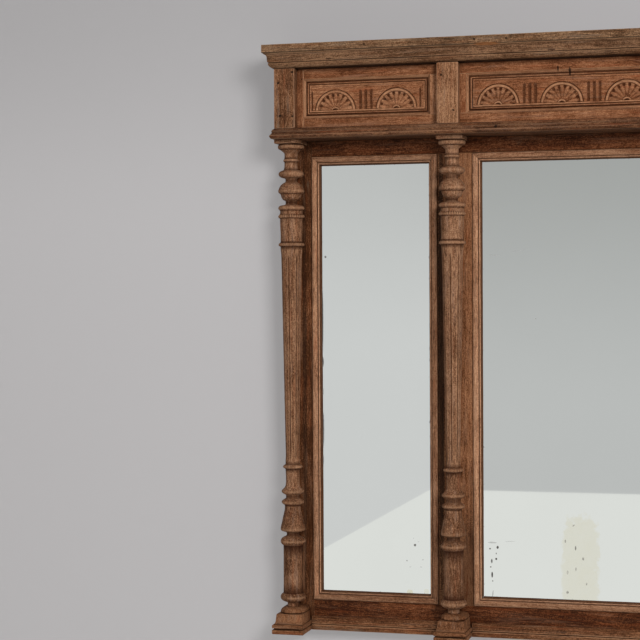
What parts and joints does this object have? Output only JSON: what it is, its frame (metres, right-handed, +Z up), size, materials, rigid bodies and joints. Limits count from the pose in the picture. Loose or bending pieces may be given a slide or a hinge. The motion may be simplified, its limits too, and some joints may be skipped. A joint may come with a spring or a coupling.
{
  "type": "triptych mirror",
  "caption": "Wall-hung triptych mirror in carved oak, with turned and fluted columns, a carved frieze under a moulded cornice, and hanging rings on its back.",
  "frame": {"origin": "middle of the lower edge of the back, where the back plane meets the feet", "axes": "+X along the mirror, +Y into the wall behind it, so the mirror faces -Y, +Z up"},
  "size_m": [1.3332, 0.119, 1.1],
  "materials": {
    "oak_frame": "stripped oak, weathered brown",
    "oak_frieze": "stripped oak, redder brown",
    "oak_cornice": "stripped oak, greyed by light",
    "pine": "raw sawn softwood",
    "silvered_glass": "old silvering, foxed at the edges",
    "hanger_iron": "dull, tarnished"
  },
  "bodies": {
    "mirror": {"cornice_top": "oak_cornice", "crown_front": "oak_cornice", "crown_returns": "oak_cornice", "frieze_top_rail": "oak_frieze", "frieze_bottom_rail": "oak_frieze", "frieze_stile_1": "oak_frieze", "frieze_stile_2": "oak_frieze", "frieze_stile_3": "oak_frieze", "frieze_stile_4": "oak_frieze", "frieze_panel_left": "oak_frieze", "frieze_panel_centre": "oak_frieze", "frieze_panel_right": "oak_frieze", "panel_bead_left": "oak_frieze", "panel_bead_centre": "oak_frieze", "panel_bead_right": "oak_frieze", "frieze_block_1": "oak_frieze", "frieze_block_2": "oak_frieze", "frieze_block_3": "oak_frieze", "frieze_block_4": "oak_frieze", "frieze_ends": "oak_cornice", "ledge_board": "oak_frame", "ledge_front": "oak_frame", "ledge_returns": "oak_frame", "abacus_1": "oak_frame", "abacus_2": "oak_frame", "abacus_3": "oak_frame", "abacus_4": "oak_frame", "column_1": "oak_frame", "column_2": "oak_frame", "column_3": "oak_frame", "column_4": "oak_frame", "base_1": "oak_frame", "base_2": "oak_frame", "base_3": "oak_frame", "base_4": "oak_frame", "outer_stile_left": "oak_frame", "outer_stile_right": "oak_frame", "inner_stile_left": "oak_frame", "inner_stile_right": "oak_frame", "top_rail": "oak_frame", "bottom_rail": "oak_frame", "head_rail": "oak_frame", "foot_moulding_left": "oak_frame", "foot_moulding_centre": "oak_frame", "foot_moulding_right": "oak_frame", "glass_frame_left": "oak_frame", "glass_frame_centre": "oak_frame", "glass_frame_right": "oak_frame", "mirror_left": "silvered_glass", "mirror_centre": "silvered_glass", "mirror_right": "silvered_glass", "backboard_left": "pine", "backboard_centre": "pine", "backboard_right": "pine", "back_strips": "pine", "hanger_plates": "hanger_iron", "hanger_screws": "hanger_iron", "glue_blocks": "pine"},
    "left_ring": {"hanging_ring_left": "hanger_iron"},
    "right_ring": {"hanging_ring_right": "hanger_iron"}
  },
  "joints": [
    {"name": "left_ring_swing", "type": "hinge", "parent": "mirror", "child": "left_ring", "pos_m": [-0.61925, -0.0042, 0.8], "axis": [1, 0, 0], "range_deg": [-7, 187]},
    {"name": "right_ring_swing", "type": "hinge", "parent": "mirror", "child": "right_ring", "pos_m": [0.61925, -0.0042, 0.8], "axis": [1, 0, 0], "range_deg": [-7, 187]}
  ]
}
